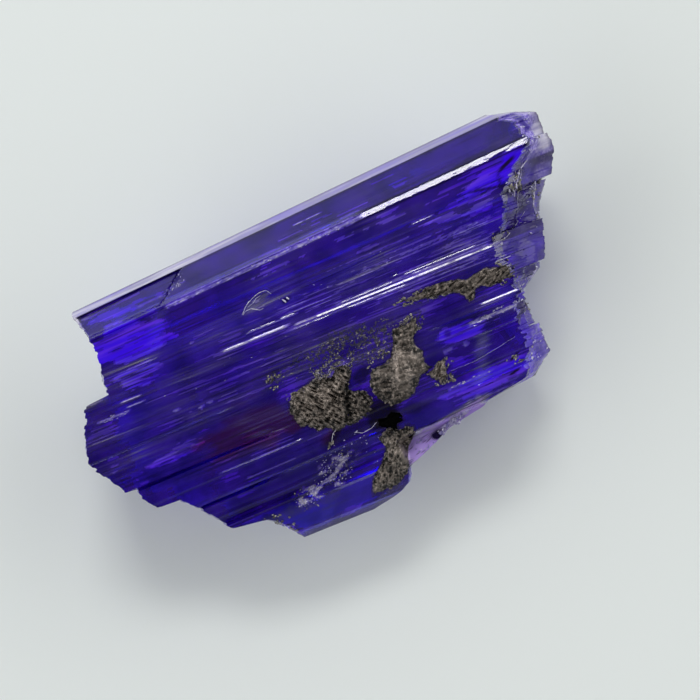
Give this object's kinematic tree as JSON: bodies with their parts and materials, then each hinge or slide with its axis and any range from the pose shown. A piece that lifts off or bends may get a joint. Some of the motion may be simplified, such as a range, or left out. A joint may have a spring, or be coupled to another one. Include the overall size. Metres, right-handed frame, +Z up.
{
  "type": "rough tanzanite crystal",
  "caption": "Rough violet-blue tanzanite crystal, striated lengthwise, with broken blade ends and grey graphite patches, lying on its broad flat back.",
  "frame": {"origin": "middle of the crystal's lowest level, on the surface that it rests on", "axes": "+X along the striations towards the broken right end, +Y across them towards the long bevelled edge, +Z up, out of the front face"},
  "size_m": [0.0164, 0.0094, 0.005],
  "materials": {
    "tanzanite": "clear violet-blue crystal with glossy striated faces",
    "graphite": "dark grey, granular, with a metallic glint"
  },
  "bodies": {
    "root": {"tanzanite_crystal": "tanzanite", "graphite_crust_left": "graphite", "graphite_crust_middle": "graphite", "graphite_crust_lower": "graphite", "graphite_streak_upper": "graphite", "graphite_patch_right": "graphite"}
  },
  "joints": []
}
